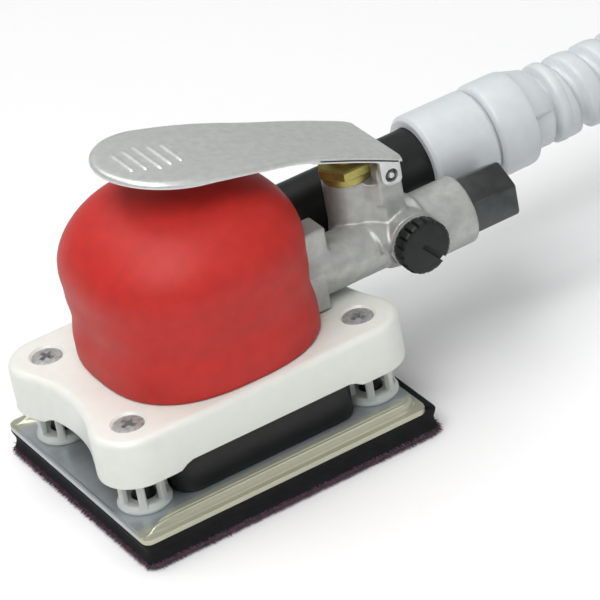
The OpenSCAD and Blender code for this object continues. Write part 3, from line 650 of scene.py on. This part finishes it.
def cross_recess(x, y, turn):
    """One wing of a screw's cross recess, tapering downwards."""
    c, s = math.cos(math.radians(turn)), math.sin(math.radians(turn))
    rings = []
    for z, half_l, half_w in ((SHROUD_TOP - 2.4, 1.0, 0.4), (SHROUD_TOP + 1, 3.1, 0.9)):
        corners = [(half_l, half_w), (-half_l, half_w), (-half_l, -half_w), (half_l, -half_w)]
        rings.append([(x + u * c - v * s, y + u * s + v * c, z) for u, v in corners])
    return loft(rings)


def make_screws():
    top, shank = SHROUD_TOP - 0.15, 2.45
    profile = [(13, 0), (13, 2.2), (13.4, shank), (top - 2.6, shank), (top - 0.75, 4.35), (top - 0.55, 4.45)]
    profile += [(top - 0.4, 4.3), (top - 0.22, 3.4), (top - 0.08, 2.2), (top, 0)]
    parts = [revolve(profile, upwards(x, y, 0), 48) for x, y in LEGS]
    screws = new_piece("cross_screws", *join(*parts), "screw_steel", "housing", ("shroud_screws",), sharp=40)
    for x, y in LEGS:
        for turn in (20, 110):
            cut(screws, *cross_recess(x, y, turn))


LEG_RIBS = 6
FOOT_Z = 9.25
LEG_BORE_R = 2.55


def make_leg(index):
    """A leg: a cage with a ring foot, a ring under the boss and ribs between them, round a black core whose
    colour is painted shade in the cage's windows.
    """
    x, y = LEGS[index]
    at = upwards(x, y, 0)
    foot = rounded([
        (FOOT_Z, 3.4, 0.2), (FOOT_Z, 7.55, 0.3), (FOOT_Z + 0.9, 7.6, 0.5), (FOOT_Z + 2.3, 6.9, 0.6),
        (FOOT_Z + 2.3, 3.4, 0.3),
    ])
    top = rounded([(18.6, 3.0, 0.2), (18.6, 7.1, 0.5), (19.6, 7.4, 0.3), (22.5, 7.4, 0.2), (22.5, 3.0, 0)])
    core = rounded([
        (FOOT_Z + 0.1, LEG_BORE_R, 0), (FOOT_Z + 0.1, 3.4, 0), (FOOT_Z + 3, 3.0, 1), (17, 3.0, 1),
        (18.8, 3.4, 0), (18.8, LEG_BORE_R, 0),
    ])
    name = f"leg_{index + 1}"
    # The core's black is painted shade: it darkens the cage's windows as the shade inside the leg would.
    new_piece(name + "_core_dark_as_shade", *revolve(core, at, 32), "black_rubber", "housing")
    levels = [
        (FOOT_Z + 1.0, 7.35, 1.5), (FOOT_Z + 2.6, 7.1, 1.2), (FOOT_Z + 4, 7.0, 1.1), (17.2, 7.0, 1.1),
        (18.2, 7.1, 1.25), (19.4, 7.2, 1.6),
    ]
    parts = [revolve(foot, at, 64), revolve(top, at, 64)]
    for i in range(LEG_RIBS):
        c, s = math.cos(i * math.tau / LEG_RIBS), math.sin(i * math.tau / LEG_RIBS)
        rings = []
        for z, r, half in levels:
            inner = r - 1.9
            section = rounded([(inner, -half, 0.4), (r, -half, 0.5), (r, half, 0.5), (inner, half, 0.4)], 3)
            rings.append([(x + u * c - v * s, y + u * s + v * c, z) for u, v in section])
        parts.append(loft(rings))
    new_piece(name + "_cage", *join(*parts), "nylon", "housing", (name,), sharp=45)


make_shroud()
make_screws()
for leg_index in range(len(LEGS)):
    make_leg(leg_index)


# ---- pad and skirt ----

PAD_L, PAD_W, PAD_CORNER = 92.0, 80.0, 2.5


def rectangle(l, w, r, y=ORBIT, arc=6):
    """A rounded rectangle as (x, y, outward x, outward y)."""
    points = []
    for i, (sx, sy) in enumerate(((1, 1), (-1, 1), (-1, -1), (1, -1))):
        cx, cy = sx * (l / 2 - r), y + sy * (w / 2 - r)
        for s in range(arc + 1):
            a = math.radians(90 * i + 90 * s / arc)
            points.append((cx + r * math.cos(a), cy + r * math.sin(a), math.cos(a), math.sin(a)))
    return points


def spread(points, gap):
    """The same outline with more points on its straight runs."""
    more = []
    for i, p in enumerate(points):
        q = points[(i + 1) % len(points)]
        count = max(1, int(math.dist(p[:2], q[:2]) / gap))
        more += [tuple(a + (b - a) * s / count for a, b in zip(p, q)) for s in range(count)]
    return more


def stack(outline, shape):
    """Rings over an outline, from (height, distance outwards) pairs."""
    return [[(x + u * out, y + v * out, z) for x, y, u, v in outline] for z, out in shape]


def make_pad_rubber():
    outline = spread(rectangle(PAD_L, PAD_W, PAD_CORNER), 3)
    upper = [(7.7, -4), (7.7, -0.5), (7.62, -0.15), (7.3, 0)]
    cove = [(6.6, -0.15), (5.6, -0.6), (4.6, -0.85), (3.6, -0.8), (2.6, -0.45), (1.9, -0.1)]
    lower = [(1.5, 0), (1.3, -0.1), (1.3, -4)]
    rings = stack(outline, upper + cove + lower)
    new_piece("pad_foam", *loft(rings), "pad_rubber", "pad", ("pad_rubber",), sharp=60)


def fibre(x, y, u, v, dice):
    """One cut fibre on the hook sheet's edge at (x, y), leaning outwards and down."""
    z = dice.uniform(0.3, 2.0)
    reach = dice.uniform(0.3, 1.5)
    drop = min(z - 0.05, dice.uniform(-0.2, 1.0))
    slip = dice.uniform(-0.35, 0.35)
    w = dice.uniform(0.06, 0.13)
    root_x, root_y = x - u * 0.15, y - v * 0.15
    left = (root_x - v * w, root_y + u * w, z)
    right = (root_x + v * w, root_y - u * w, z)
    above = (root_x, root_y, z + 1.6 * w)
    tip = (x + u * reach - v * slip, y + v * reach + u * slip, z - drop)
    return [left, right, above, tip], [(0, 1, 3), (1, 2, 3), (2, 0, 3), (0, 2, 1)]


def make_hook_face():
    """The hook sheet, with a fringe of cut fibres round its edge."""
    outline = rectangle(PAD_L, PAD_W, PAD_CORNER)
    shape = [(1.35, -3), (1.35, -0.15), (1.2, 0.0), (0.5, 0.05), (0.15, -0.15), (0.0, -0.5), (0.0, -3)]
    parts = [loft(stack(spread(outline, 2.5), shape))]
    dice = random.Random(4)
    for place in spread(outline, 0.17):
        parts += [fibre(*place, dice) for _ in range(3)]
    new_piece("hook_sheet", *join(*parts), "hook_fabric", "pad", ("hook_face",), sharp=60)


NOSE_X, TAIL_X = -46.0, 43.0
PLATE_HALF = 39.7
PLATE_TOP, PLATE_BOTTOM = 9.2, 7.7
BEAD_HEIGHT = 2.1
BEAD_OUTER = 37.5  # from the plate's middle line
BEAD_END = 41.5
BEAD_ROUND = 5


def plate_height(x, y):
    """Height of the plate's upper face over its flat, at a point from the pad's own centre."""
    side = abs(y)
    tail = BEAD_END - x
    grown = ease((x - NOSE_X - 0.3) / 12)
    inner = 37.0 - 4.8 * grown
    outer = BEAD_OUTER
    if tail < BEAD_ROUND:
        sunk = max(0, BEAD_ROUND - tail) / BEAD_ROUND
        outer -= 4.6 * (1 - math.sqrt(max(0, 1 - sunk**2)))
    if tail < 0 or outer <= inner:
        return 0.0
    foot = -0.35 * ease(1 - abs(side - outer - 0.15) / 0.45) * ease((x - NOSE_X - 3) / 3)
    up = ease((outer - side) / 0.9) * ease((side - inner) / 1.2)
    step = 0.3 * ease(1 - abs(side - outer + 1.75) / 0.4) * grown
    return BEAD_HEIGHT * up * (0.45 + 0.55 * grown) - step * up + foot


def make_plate():
    """The pressed plate, as a grid that is finer over its nose lip, its beads and their ends."""
    xs = [NOSE_X + d for d in (0, 0.2, 0.45, 0.7, 0.95, 1.2, 1.6)]
    xs += [NOSE_X + 2.1 + 0.5 * i for i in range(28)]
    xs += [NOSE_X + 16 + i for i in range(67)]
    xs += [TAIL_X - 0.5 * i for i in range(12, -1, -1)]
    half_ys = [i * 2.0 for i in range(16)] + [31.0 + 0.2 * i for i in range(43)] + [39.55, PLATE_HALF]
    ys = [-y for y in reversed(half_ys[1:])] + half_ys
    verts, faces = [], []
    for x in xs:
        short = max(0, PAD_CORNER - min(x - NOSE_X, TAIL_X - x))
        limit = PLATE_HALF - PAD_CORNER + math.sqrt(max(0, PAD_CORNER**2 - short**2))
        lip = 0.4 * ease(1 - abs(x - NOSE_X - 0.5) / 0.55)
        for y in ys:
            kept = max(-limit, min(limit, y))
            lift = plate_height(x, kept) + (lip if abs(kept) < BEAD_OUTER else 0)
            verts.append((x, kept + ORBIT, PLATE_TOP + lift))
    row, last = len(ys), len(xs) - 1
    for i in range(last):
        for k in range(row - 1):
            a = i * row + k
            faces.append((a, a + row, a + row + 1, a + 1))
    count = len(verts)
    verts += [(x, y, PLATE_BOTTOM) for x, y, _ in verts]
    faces += [tuple(i + count for i in reversed(f)) for f in faces]
    border = list(range(row))
    border += [i * row + row - 1 for i in range(1, last + 1)]
    border += [last * row + k for k in reversed(range(row - 1))]
    border += [i * row for i in reversed(range(1, last))]
    for a, b in zip(border, border[1:] + border[:1]):
        faces.append((a, b, b + count, a + count))
    plate = new_piece("steel_plate", verts, faces, "plate_steel", "pad", ("pad_plate",), sharp=50)
    bevel_edges(plate, 0.25, 65)


def make_skirt():
    """The dust skirt: a wall that narrows above its step, so that it clears the bosses."""
    outline = spread(rectangle(56, 60.8, 6, y=0), 3)
    step_z, kept = 19.6, 24  # above the step, what is past this X is drawn in
    shape = [(9.65, 0.0), (9.65, -0.8), (10.2, -1.4), (30, -1.6), (30.6, -1.6), (30.6, 0.0)]
    shape += [(21, -0.3), (19.4, 0.1), (17, 0.35), (13, 0.3), (10.6, 0.15), (9.9, 0.2)]
    ends = [p[0] for p in outline]
    narrow = [x if abs(x) < kept else math.copysign(kept + (abs(x) - kept) * 0.1, x) for x in ends]
    rings = stack(outline, shape)
    for i, (z, _) in enumerate(shape):
        if z > step_z:
            rings[i] = [(x, p[1], p[2]) for x, p in zip(narrow, rings[i])]
    new_piece("skirt", *loft(rings, closed=True), "black_rubber", "housing", ("dust_skirt",), sharp=60)


make_pad_rubber()
make_hook_face()
make_plate()
make_skirt()


# ---- lever ----

LEVER_TAIL = 62.6
PADDLE_R = 19.5
NECK = 14.5
PIN_X, PIN_Z = 58.2, 64.7


def lever_z(x):
    return 91.2 - 0.235 * x - 0.002 * x * x


def lever_outline():
    """The lever's plan: round the paddle's tip and along one side to the tail, then back along the other."""
    angles = [math.radians(a) for a in range(180, 89, -6)]
    tip = [(PADDLE_R * math.cos(a), PADDLE_R * math.sin(a)) for a in angles]
    waist = [(4, 19.1), (8, 18.75), (12, 18.3), (16, 17.75), (20, 17.1)]
    waist += [(24, 16.3), (28, 15.4), (31, 14.9), (34, 14.6)]
    straight = [(x, NECK) for x in range(38, 59, 4)]
    half = tip + waist + straight + [(61, NECK), (LEVER_TAIL, 13.6)]
    return half + [(x, -y) for x, y in reversed(half[1:])]


def make_lever_sheet():
    """The pressed sheet, with its edge rolled down and back up under the top."""
    outline = lever_outline()
    spine_end = LEVER_TAIL - 1.5

    def ring(inset, drop):
        points = []
        for x, y in outline:
            spine_x = max(0.0, min(spine_end, x))
            across = Vector((x - spine_x, y))
            reach = across.length
            kept = max(0.0, reach - inset) / reach
            px = spine_x + across.x * kept
            points.append((px, across.y * kept, lever_z(px) - drop))
        return points

    top = [(30, 0), (9, 0), (5, 0), (3.2, 0), (2.2, 0)]
    roll = [(1.5, 0.04), (1.0, 0.16), (0.5, 0.42), (0.15, 0.85), (0.0, 1.3), (0.0, 1.75)]
    rim = [(0.25, 1.9), (0.7, 1.85), (1.0, 1.6)]
    under = [(2.2, 1.5), (5, 1.5), (9, 1.5), (30, 1.5)]
    return loft([ring(inset, drop) for inset, drop in top + roll + rim + under], caps=False)


def make_lever():
    """The lever: its sheet, with an ear on each side for the hinge pins."""
    tail, eye, ear_t = LEVER_TAIL - 1.2, 3.1, 1.5
    ear = [(33, lever_z(33) - 0.9, 0), (45, lever_z(45) - 0.9, 0), (tail, lever_z(tail) - 0.9, 0.2)]
    ear += [(PIN_X + 3.2, PIN_Z, 1.0), (PIN_X + eye, PIN_Z - eye, 3.0), (PIN_X - eye, PIN_Z - eye, 3.0)]
    ear += [(PIN_X - eye, lever_z(PIN_X - eye) - 2.5, 0.8)]
    ear += [(x, lever_z(x) - 2.3, 0) for x in (PIN_X - 4.4, 48, 42, 36)]
    parts = [make_lever_sheet()]
    for y in (-NECK, NECK - ear_t):
        parts.append(prism(rounded(ear)[::-1], lambda h, u, v, y=y: (u, y + h, v), ear_t, 0.25))
    lever = new_piece("lever_sheet", *join(*parts), "lever_steel", "lever", ("throttle_lever",), sharp=50)
    for start in (-NECK - 1, NECK - 2):
        cut(lever, *solid_cylinder(2.0, start, start + 3, to_far(PIN_X, 0, PIN_Z)))


def make_grip_ribs():
    """Plain pressed ribs that keep the palm from slipping."""
    count, pitch, steps = 5, 3.6, 20
    parts = []
    for i in range(count):
        x, half = -12 + pitch * i, 8.5 - 1.1 * abs(i - count // 2)
        base = lever_z(x) - 0.2
        rings = []
        for k in range(steps + 1):
            t = 2 * k / steps - 1
            full = math.sqrt(max(0.0, 1 - abs(t) ** 8))
            top = base + 0.1 + 0.5 * full
            w = 0.15 + 0.8 * full
            shoulder = (base + 2 * top) / 3
            section = [(-1, base), (-0.85, shoulder), (-0.4, top), (0.4, top), (0.85, shoulder), (1, base)]
            rings.append([(x + u * w, half * t, z) for u, z in section])
        parts.append(loft(rings))
    new_piece("lever_ribs", *join(*parts), "lever_steel", "lever", sharp=60)


def make_pins():
    """The stub pins' bodies, black as painted shade for the dark ring in the lever's eyes, and the bright
    heads in the middle of the lever's eyes.
    """
    sides = [to_near(PIN_X, 0, PIN_Z), to_far(PIN_X, 0, PIN_Z)]
    axis = 0.01
    body = rounded([(9.5, axis, 0), (9.5, 1.9, 0.1), (13.4, 1.9, 0.1), (13.4, axis, 0)], 3)
    head = rounded([(13.3, axis, 0), (13.3, 0.85, 0), (14.7, 0.85, 0.25), (14.7, axis, 0)], 4)
    bodies = join(*[revolve(body, at, 32) for at in sides])
    heads = join(*[revolve(head, at, 32) for at in sides])
    # The pins' black is painted shade: it stands for the shaded gap round each pin in the lever's eyes.
    new_piece("pivot_pins_dark_as_shade", *bodies, "black_steel", "housing", ("lever_pins",), sharp=40)
    new_piece("pivot_heads", *heads, "lever_steel", "housing", sharp=40)


make_lever()
make_grip_ribs()
make_pins()


# ---- casting with the air inlet ----

ARM_END_R = 9.9
THREAD_R = 5.72


def casting_solids():
    """The rough solids of the cast housing's visible part."""
    valve = upwards(VALVE_X, VALVE_Y, 0)
    bits = [
        solid_box((16, -16, 34.9), (32.5, 26.2, 46)),
        solid_cylinder(12.7, 20, 32.5, along_x(0, TUBE_Y, TUBE_Z)),
        solid_box((24, -13, 46), (36.5, -4.5, 57.5)),
        solid_cylinder(7.9, 20, 56, along_x(0, ARM_Y, 43.4)),
        solid_cylinder(7.9, 54, 66, along_x(0, ARM_Y, 42.6), r_end=ARM_END_R),
        solid_cylinder(ARM_END_R, 64, 80.5, along_x(0, ARM_Y, ARM_Z)),
        solid_cylinder(7.1, 40, 63, valve),
        solid_cylinder(8.6, 40, 50, valve, r_end=7.1),
        solid_cylinder(7.8, 0, 9, to_near(KNOB_X, ARM_Y, KNOB_Z)),
    ]
    bits.append(upright([(50, -9), (56, -12.7), (62, -12.7), (62, 4.5), (51, 4.5)], 45, 57))
    angles = [math.radians(a) for a in range(12, 172, 8)]
    crown = [(ARM_Y + ARM_END_R * math.cos(a), ARM_Z + ARM_END_R * math.sin(a)) for a in angles]
    bits.append(loft([[(x, y, z) for y, z in crown] for x in (50, 66)]))
    for turned in (to_near, to_far):
        bits.append(solid_cylinder(3.9, 9.4, 12.8, turned(PIN_X, 0, PIN_Z)))
    bits.append(upright([(51, -9), (55, -12.7), (62, -12.7), (62, 12.7), (55, 12.7), (51, 5)], 55.5, 62.4))
    return join(*bits)


def make_casting():
    """The casting: rough solids merged and smoothed like cast metal, then bored."""
    solids = casting_solids()
    casting = new_piece("casting", *solids, "cast_aluminium", "housing", ("motor_housing",), sharp=50)
    merge = casting.modifiers.new("merge", "REMESH")
    merge.mode = "VOXEL"
    merge.voxel_size = 0.42 * MM
    soften = casting.modifiers.new("soften", "SMOOTH")
    soften.factor = 0.5
    soften.iterations = 9
    apply_modifiers(casting, 50)
    thin = casting.modifiers.new("thin", "DECIMATE")
    thin.ratio = 0.35
    apply_modifiers(casting, 50)
    knob = to_near(KNOB_X, ARM_Y, KNOB_Z)
    cut(casting, *solid_cylinder(8.3, 9, 30, knob))
    cut(casting, *solid_cylinder(4.95, 5, 20, knob))
    cut(casting, *solid_cylinder(6.6, 70, 90, along_x(0, ARM_Y, ARM_Z)))
    for turned in (to_near, to_far):
        cut(casting, *solid_cylinder(1.95, 9.0, 14, turned(PIN_X, 0, PIN_Z)))


def make_inlet():
    flats = 15.5
    levels = [(80.6, -0.25), (80.9, 0.0), (94.1, 0.0), (94.7, -0.35), (95.0, -0.9)]

    def corner_up(h, a, b):
        return (h, ARM_Y - b, ARM_Z + a)

    rings = [hexagon(corner_up, x, flats + 2 * grow, 0.04) for x, grow in levels]
    bushing = new_piece("inlet_hexagon", *loft(rings), "black_steel", "housing", ("inlet_bushing",), sharp=30)
    on_arm = along_x(0, ARM_Y, ARM_Z)
    cut(bushing, *solid_cylinder(THREAD_R, 78, 97, on_arm))
    cut(bushing, *solid_cylinder(THREAD_R, 94.2, 95.5, on_arm, r_end=7.2))


def make_thread():
    """The inlet's thread, as a helical ridge inside the bushing."""
    start, pitch, turns, sides = 82.2, 1.34, 9, 40
    section = [(-0.6, 5.8), (0, 5.2), (0.6, 5.8)]
    on_arm = along_x(0, ARM_Y, ARM_Z)
    rings = []
    for i in range(turns * sides + 1):
        a = i * math.tau / sides
        x = start + pitch * i / sides
        rings.append([on_arm(x + dx, r * math.cos(a), r * math.sin(a)) for dx, r in section])
    new_piece("inlet_thread", *loft(rings), "black_steel", "housing", sharp=40)


def make_knob():
    """The speed knob, with a notched rim and a slot from its middle to the rim."""
    face, back, notches, axis = 23.0, 18.15, 18, 0.01
    at = to_near(KNOB_X, 0, KNOB_Z)
    profile = [(back, axis), (back, 7.2), (back + 0.3, 7.7), (face - 1.1, 7.8), (face - 0.6, 7.65)]
    profile += [(face - 0.2, 7.2), (face, 6.5), (face, axis)]
    sides, rings = 216, []
    for h, r in profile:
        ring = []
        for k in range(sides):
            a = k * math.tau / sides
            notch = 0.9 * max(0.0, math.cos(a * notches)) ** 6
            depth = notch if r > 6.8 and h < face - 0.4 else 0
            ring.append(at(h, (r - depth) * math.cos(a), (r - depth) * math.sin(a)))
        rings.append(ring)
    knob = new_piece("knob", *loft(rings), "black_plastic", "regulator", ("regulator_knob",), sharp=40)
    c, s = math.cos(math.radians(-49)), math.sin(math.radians(-49))
    corners = [(-1.5, -0.7), (9, -0.7), (9, 0.7), (-1.5, 0.7)]
    slot = [[at(h, u * c - v * s, u * s + v * c) for u, v in corners] for h in (face - 2.2, face + 1)]
    cut(knob, *loft(slot))
    new_piece("knob_stem", *solid_cylinder(3.15, 11, back + 0.5, at, 32), "black_plastic", "regulator")


def make_valve_bushing():
    at = upwards(VALVE_X, VALVE_Y, 0)
    bore, flats = 1.55, 14
    flange = rounded([
        (56, bore, 0), (56, 4.5, 0.1), (62.9, 4.5, 0), (62.9, 6.9, 0.2), (65.3, 6.9, 0.5), (65.5, bore, 0),
    ], 3)
    collar = rounded([(67.9, bore, 0), (67.9, 4.0, 0), (69.2, 4.0, 0.4), (69.2, bore, 0.2)], 3)
    rings = [hexagon(at, z, flats + 2 * grow, 0.03) for z, grow in ((65.3, 0), (67.6, 0), (68.0, -0.5))]
    parts = [revolve(flange, at, 64), revolve(collar, at, 48), loft(rings)]
    new_piece("valve_hexagon", *join(*parts), "brass", "housing", ("valve_bushing",), sharp=30)


make_casting()
make_inlet()
make_thread()
make_knob()
make_valve_bushing()


# ---- the CAD nodes that stay as they are ----


def dress_frame():
    """Materials and softened edges on the nodes that no piece replaces."""
    finish = {m["node"]: m["material_slot"] for m in frame["record"]["subparts"]}
    for name, node in frame["nodes"].items():
        if node.hide_render:
            continue
        for place in node.material_slots:
            place.material = MATERIALS[finish[name]]
        bevel_edges(node, 0.12, 40)


dress_frame()


# ---- floor and light ----

FLOOR_HALF, FLOOR_Z = 3, -0.0002  # metres
SKY = [(0.0, 0.2), (1.0, 0.45), (0.35, 0.3)]  # height of the direction looked in, and its light
LAMPS = [  # name, place, size and power
    ("key", (-0.4, -0.4, 1.0), 0.8, 8.2),
    ("top", (-0.05, 0.45, 1.1), 0.9, 5.5),
    ("front", (0.55, -0.9, 0.45), 0.6, 0.8),
]


def make_floor():
    mesh = bpy.data.meshes.new("floor")
    corners = [(FLOOR_HALF * x, FLOOR_HALF * y, FLOOR_Z) for x, y in ((-1, -1), (1, -1), (1, 1), (-1, 1))]
    mesh.from_pydata(corners, [], [(0, 1, 2, 3)])
    mesh.materials.append(material("floor", (243, 243, 243), 0.7, vary=0.003, bump=0.0))
    floor = bpy.data.objects.new("floor", mesh)
    bpy.context.scene.collection.objects.link(floor)


def make_sky():
    world = bpy.data.worlds.new("studio")
    bpy.context.scene.world = world
    world.use_nodes = True
    nodes, links = world.node_tree.nodes, world.node_tree.links
    place = nodes.new("ShaderNodeTexCoord")
    split = nodes.new("ShaderNodeSeparateXYZ")
    ramp = nodes.new("ShaderNodeValToRGB")
    links.new(place.outputs["Generated"], split.inputs["Vector"])
    links.new(split.outputs["Z"], ramp.inputs["Fac"])
    links.new(ramp.outputs["Color"], nodes["Background"].inputs["Color"])
    for i, (height, light) in enumerate(SKY):
        stop = ramp.color_ramp.elements[i] if i < 2 else ramp.color_ramp.elements.new(height)
        stop.position = height
        stop.color = (light, light, light, 1)


def make_lamps():
    for name, spot, size, power in LAMPS:
        data = bpy.data.lights.new(name, "AREA")
        data.shape = "DISK"
        data.size = size
        data.energy = power
        lamp = bpy.data.objects.new(name, data)
        bpy.context.scene.collection.objects.link(lamp)
        lamp.location = spot
        lamp.rotation_mode = "QUATERNION"
        lamp.rotation_quaternion = (Vector(VIEW_TARGET) - Vector(spot)).to_track_quat("-Z", "Y")


make_floor()
make_sky()
make_lamps()
bpy.context.scene.view_settings.view_transform = "Standard"
